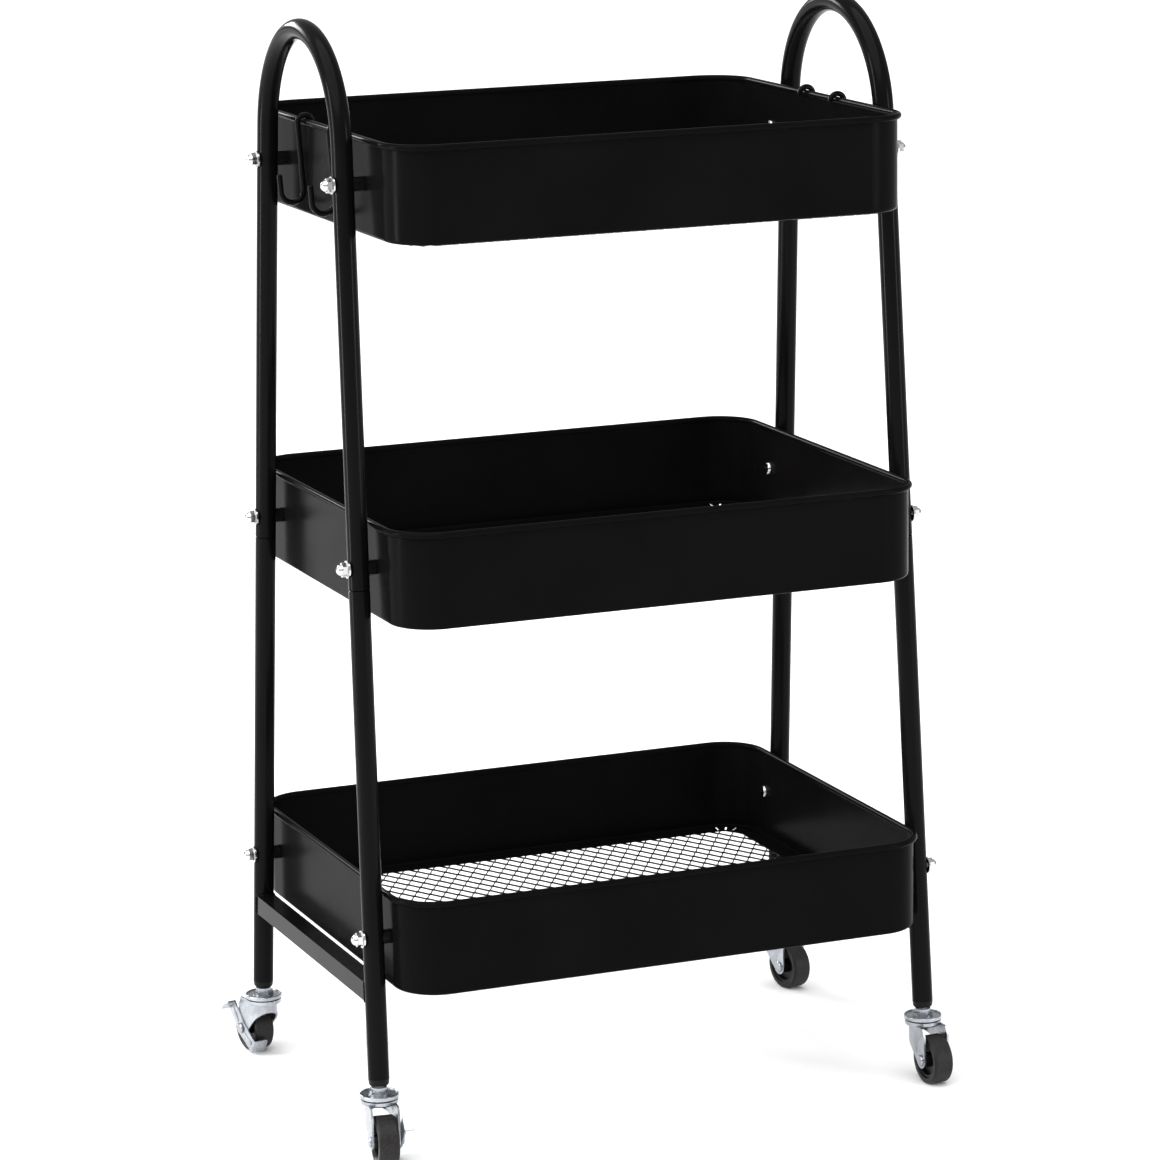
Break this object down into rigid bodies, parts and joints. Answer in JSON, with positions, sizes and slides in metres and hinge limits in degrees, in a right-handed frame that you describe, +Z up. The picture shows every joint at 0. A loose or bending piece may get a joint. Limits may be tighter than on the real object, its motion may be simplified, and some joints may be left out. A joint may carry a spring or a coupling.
{
  "type": "rolling shelf cart",
  "caption": "Rolling shelf cart: mesh-floored pan baskets between hoop end frames on swivel casters, with hanging hooks.",
  "frame": {"origin": "on the floor, below the centre of the cart", "axes": "+X along the cart from the left hoop to the right hoop, +Y from the front to the back, +Z up"},
  "size_m": [0.496, 0.35, 0.8403],
  "materials": {
    "powder_coat": "gloss black powder coat",
    "basket_coat": "gloss black powder coat on sheet",
    "mesh_coat": "black powder coat on expanded metal",
    "hook_coat": "gloss black coated wire",
    "black_plastic": "satin moulded plastic",
    "bright_steel": "bright zinc",
    "bright_nickel": "polished nickel",
    "caster_zinc": "bright zinc plate",
    "inner_steel": "plain steel",
    "wheel_plastic": "moulded nylon",
    "tyre_rubber": "dull dark grey rubber"
  },
  "bodies": {
    "cart_frame": {"left_hoop_handle": "powder_coat", "left_front_leg": "powder_coat", "left_rear_leg": "powder_coat", "left_crossbar": "powder_coat", "right_hoop_handle": "powder_coat", "right_front_leg": "powder_coat", "right_rear_leg": "powder_coat", "right_crossbar": "powder_coat", "joint_spigots": "inner_steel", "leg_end_plugs": "black_plastic", "top_basket_shell": "basket_coat", "top_mesh_floor": "mesh_coat", "top_basket_screws": "bright_steel", "top_spacers": "black_plastic", "middle_basket_shell": "basket_coat", "middle_mesh_floor": "mesh_coat", "middle_basket_screws": "bright_steel", "middle_spacers": "black_plastic", "bottom_basket_shell": "basket_coat", "bottom_mesh_floor": "mesh_coat", "bottom_basket_screws": "bright_steel", "bottom_spacers": "black_plastic", "cap_nuts": "bright_nickel", "washers": "bright_nickel", "caster_stems": "caster_zinc", "caster_collars": "caster_zinc", "caster_upper_races": "caster_zinc", "race_balls": "inner_steel"},
    "left_front_caster": {"left_front_fork": "caster_zinc", "left_front_axle": "caster_zinc"},
    "left_front_wheel": {"left_front_wheel_core": "wheel_plastic", "left_front_tyre": "tyre_rubber"},
    "left_front_brake": {"left_front_brake_lever": "caster_zinc"},
    "left_rear_caster": {"left_rear_fork": "caster_zinc", "left_rear_axle": "caster_zinc"},
    "left_rear_wheel": {"left_rear_wheel_core": "wheel_plastic", "left_rear_tyre": "tyre_rubber"},
    "left_rear_brake": {"left_rear_brake_lever": "caster_zinc"},
    "right_front_caster": {"right_front_fork": "caster_zinc", "right_front_axle": "caster_zinc"},
    "right_front_wheel": {"right_front_wheel_core": "wheel_plastic", "right_front_tyre": "tyre_rubber"},
    "right_rear_caster": {"right_rear_fork": "caster_zinc", "right_rear_axle": "caster_zinc"},
    "right_rear_wheel": {"right_rear_wheel_core": "wheel_plastic", "right_rear_tyre": "tyre_rubber"},
    "left_front_hook": {"left_front_hook": "hook_coat"},
    "left_rear_hook": {"left_rear_hook": "hook_coat"},
    "right_front_hook": {"right_front_hook": "hook_coat"},
    "right_rear_hook": {"right_rear_hook": "hook_coat"}
  },
  "joints": [
    {"name": "left_front_swivel", "type": "hinge", "parent": "cart_frame", "child": "left_front_caster", "pos_m": [-0.22664, -0.13618, 0.047], "axis": [0, 0, 1], "continuous": true},
    {"name": "left_front_wheel_spin", "type": "hinge", "parent": "left_front_caster", "child": "left_front_wheel", "pos_m": [-0.22901, -0.15301, 0.019], "axis": [0.9903, -0.1392, 0], "continuous": true},
    {"name": "left_front_brake_pivot", "type": "hinge", "parent": "left_front_caster", "child": "left_front_brake", "pos_m": [-0.22901, -0.15301, 0.019], "axis": [0.9903, -0.1392, 0], "range_deg": [0, 20]},
    {"name": "left_rear_swivel", "type": "hinge", "parent": "cart_frame", "child": "left_rear_caster", "pos_m": [-0.22664, 0.13618, 0.047], "axis": [0, 0, 1], "continuous": true},
    {"name": "left_rear_wheel_spin", "type": "hinge", "parent": "left_rear_caster", "child": "left_rear_wheel", "pos_m": [-0.22959, 0.15292, 0.019], "axis": [-0.9848, -0.1736, 0], "continuous": true},
    {"name": "left_rear_brake_pivot", "type": "hinge", "parent": "left_rear_caster", "child": "left_rear_brake", "pos_m": [-0.22959, 0.15292, 0.019], "axis": [-0.9848, -0.1736, 0], "range_deg": [0, 20]},
    {"name": "right_front_swivel", "type": "hinge", "parent": "cart_frame", "child": "right_front_caster", "pos_m": [0.22664, -0.13618, 0.047], "axis": [0, 0, 1], "continuous": true},
    {"name": "right_front_wheel_spin", "type": "hinge", "parent": "right_front_caster", "child": "right_front_wheel", "pos_m": [0.22723, -0.15317, 0.019], "axis": [0.9994, 0.0349, 0], "continuous": true},
    {"name": "right_rear_swivel", "type": "hinge", "parent": "cart_frame", "child": "right_rear_caster", "pos_m": [0.22664, 0.13618, 0.047], "axis": [0, 0, 1], "continuous": true},
    {"name": "right_rear_wheel_spin", "type": "hinge", "parent": "right_rear_caster", "child": "right_rear_wheel", "pos_m": [0.23018, 0.11955, 0.019], "axis": [0.9781, 0.2079, 0], "continuous": true},
    {"name": "left_front_hook_swing", "type": "hinge", "parent": "cart_frame", "child": "left_front_hook", "pos_m": [-0.2045, -0.033, 0.7595], "axis": [0, 1, 0], "range_deg": [0, 30]},
    {"name": "left_rear_hook_swing", "type": "hinge", "parent": "cart_frame", "child": "left_rear_hook", "pos_m": [-0.2045, 0.038, 0.7595], "axis": [0, 1, 0], "range_deg": [0, 30]},
    {"name": "right_front_hook_swing", "type": "hinge", "parent": "cart_frame", "child": "right_front_hook", "pos_m": [0.2045, -0.032, 0.7595], "axis": [0, -1, 0], "range_deg": [0, 30]},
    {"name": "right_rear_hook_swing", "type": "hinge", "parent": "cart_frame", "child": "right_rear_hook", "pos_m": [0.2045, 0.024, 0.7595], "axis": [0, -1, 0], "range_deg": [0, 30]}
  ]
}
